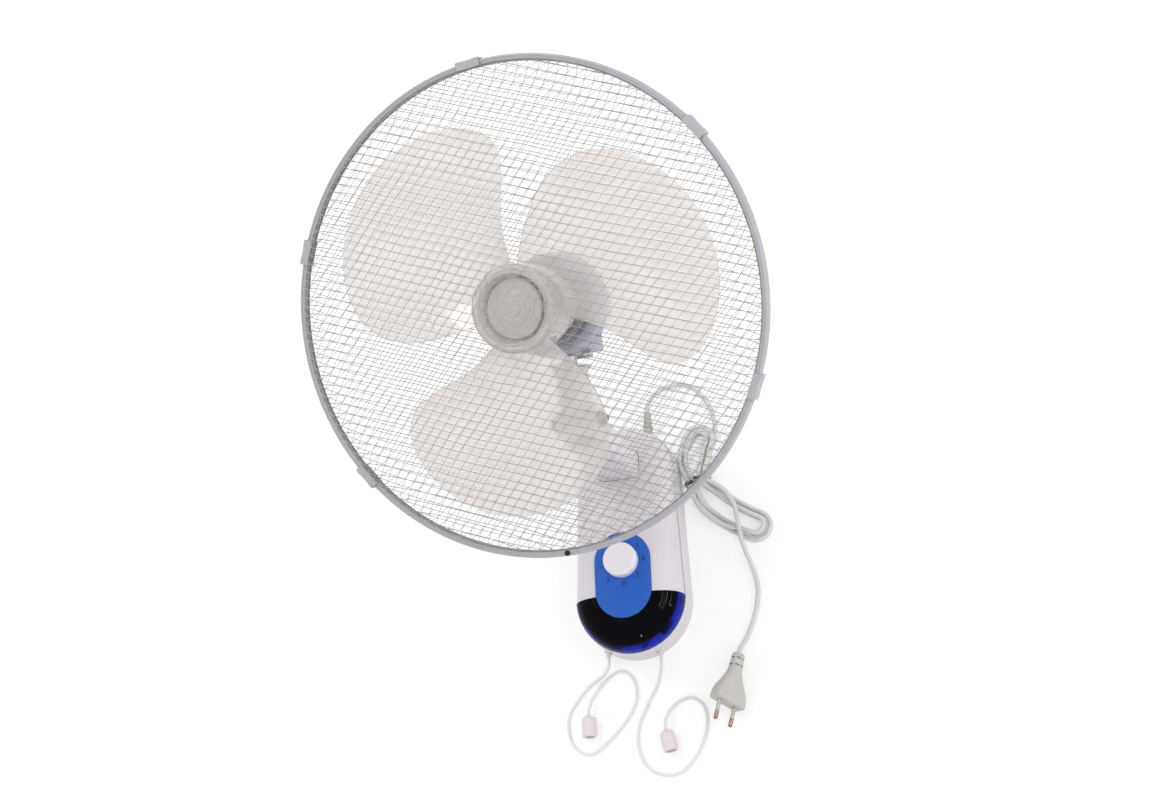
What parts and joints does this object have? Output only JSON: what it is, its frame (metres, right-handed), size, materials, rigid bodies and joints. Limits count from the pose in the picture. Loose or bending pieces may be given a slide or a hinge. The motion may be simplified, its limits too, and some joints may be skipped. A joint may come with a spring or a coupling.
{
  "type": "wall mounted fan",
  "caption": "Wall fan: domed wire guard with a plastic ring, milky blades, head that tilts and swings, wall base with a dial, lamp lens, two pull cords and a power cord with a flat plug",
  "frame": {"origin": "on the back face of the wall base, in the middle of its wall bracket", "axes": "+Z out of the wall, +Y up the wall, +X to the right for someone who faces the wall"},
  "size_m": [0.4292, 0.5601, 0.3959],
  "materials": {
    "white_plastic": "moulded, satin gloss",
    "blue_panel": "moulded, matte",
    "blue_lens": "clear tinted, ribbed",
    "clear_bulb": "clear",
    "grey_plastic": "moulded, satin",
    "motor_plastic": "moulded, satin",
    "milky_blade": "translucent, moulded",
    "cord_skin": "satin",
    "pull_cord": "braided cord",
    "plug_plastic": "moulded, matte",
    "dark_plastic": "moulded, matte",
    "zinc_steel": "zinc plated",
    "core_steel": "laminated",
    "copper_wire": "enamelled copper wire",
    "bronze": "sintered",
    "brass_pin": "plated",
    "grey_wire": "painted wire"
  },
  "bodies": {
    "base": {"wall_bracket": "zinc_steel", "rear_cover": "white_plastic", "front_housing": "white_plastic", "base_screw_1": "zinc_steel", "base_screw_2": "zinc_steel", "base_screw_3": "zinc_steel", "support_arm": "white_plastic", "control_panel": "blue_panel", "rotary_switch": "dark_plastic", "lamp_lens": "blue_lens", "lamp_reflector": "white_plastic", "lamp_bulb": "clear_bulb", "capacitor": "dark_plastic", "terminal_block": "plug_plastic", "pull_switch_left": "dark_plastic", "pull_switch_right": "dark_plastic", "cord_outlet_left": "white_plastic", "cord_outlet_right": "white_plastic", "cord_gland": "cord_skin", "power_cord_lead": "cord_skin", "power_cord_hank": "cord_skin", "hank_tie": "dark_plastic", "power_cord_tail": "cord_skin", "plug_body": "plug_plastic", "plug_pin_left": "brass_pin", "plug_pin_right": "brass_pin", "tilt_bolt": "zinc_steel", "tilt_nut": "zinc_steel"},
    "dial": {"switch_shaft": "plug_plastic", "speed_knob": "white_plastic"},
    "pull_left": {"pull_cord_left": "pull_cord", "pull_bell_left": "white_plastic"},
    "pull_right": {"pull_cord_right": "pull_cord", "pull_bell_right": "white_plastic"},
    "neck": {"neck": "white_plastic"},
    "link": {"link": "zinc_steel"},
    "crank": {"crank": "plug_plastic"},
    "head": {"swivel_pin": "zinc_steel", "motor_front_housing": "motor_plastic", "motor_rear_housing": "motor_plastic", "stator_core": "core_steel", "stator_winding": "copper_wire", "bearing_front": "bronze", "bearing_rear": "bronze", "oscillation_motor": "zinc_steel", "rear_grille": "grey_wire", "front_grille": "grey_wire", "grille_nut": "white_plastic", "guard_ring": "grey_plastic", "ring_clip_1": "grey_plastic", "ring_clip_2": "grey_plastic", "ring_clip_3": "grey_plastic", "ring_clip_4": "grey_plastic", "ring_clip_5": "grey_plastic", "ring_screw": "zinc_steel", "ring_nut": "zinc_steel"},
    "rotor": {"rotor_core": "core_steel", "rotor_shaft": "zinc_steel", "fan_blade": "milky_blade", "blade_nut": "milky_blade"}
  },
  "joints": [
    {"name": "tilt", "type": "hinge", "parent": "base", "child": "neck", "pos_m": [0, 0.08, 0.1745], "axis": [1, 0, 0], "range_deg": [-23, 12]},
    {"name": "swing", "type": "hinge", "parent": "neck", "child": "head", "pos_m": [0, 0.08, 0.1745], "axis": [0, 0.9205, 0.3907], "range_deg": [-34, 46]},
    {"name": "spin", "type": "hinge", "parent": "head", "child": "rotor", "pos_m": [-0.00857, 0.14571, 0.29099], "axis": [-0.1045, -0.3886, 0.9155], "continuous": true},
    {"name": "dial_turn", "type": "hinge", "parent": "base", "child": "dial", "pos_m": [0, -0.0165, 0.059], "axis": [0, 0, 1], "range_deg": [-41, 130]},
    {"name": "pull_left_slide", "type": "slide", "parent": "base", "child": "pull_left", "axis": [0, -1, 0], "range_m": [0, 0.012], "stiffness_N_per_m": 150},
    {"name": "pull_right_slide", "type": "slide", "parent": "base", "child": "pull_right", "axis": [0, -1, 0], "range_m": [0, 0.012], "stiffness_N_per_m": 150},
    {"name": "crank_turn", "type": "hinge", "parent": "head", "child": "crank", "pos_m": [0.00293, 0.14427, 0.17153], "axis": [0, 0.9205, 0.3907], "range_deg": [-76, 102]},
    {"name": "link_turn", "type": "hinge", "parent": "neck", "child": "link", "pos_m": [-0.0145, 0.12787, 0.19482], "axis": [0, 0.9205, 0.3907], "range_deg": [-35, 47]}
  ],
  "couplings": [
    {"joint": "crank_turn", "follows": "swing", "ratio": 2.2},
    {"joint": "link_turn", "follows": "swing", "ratio": 1}
  ]
}
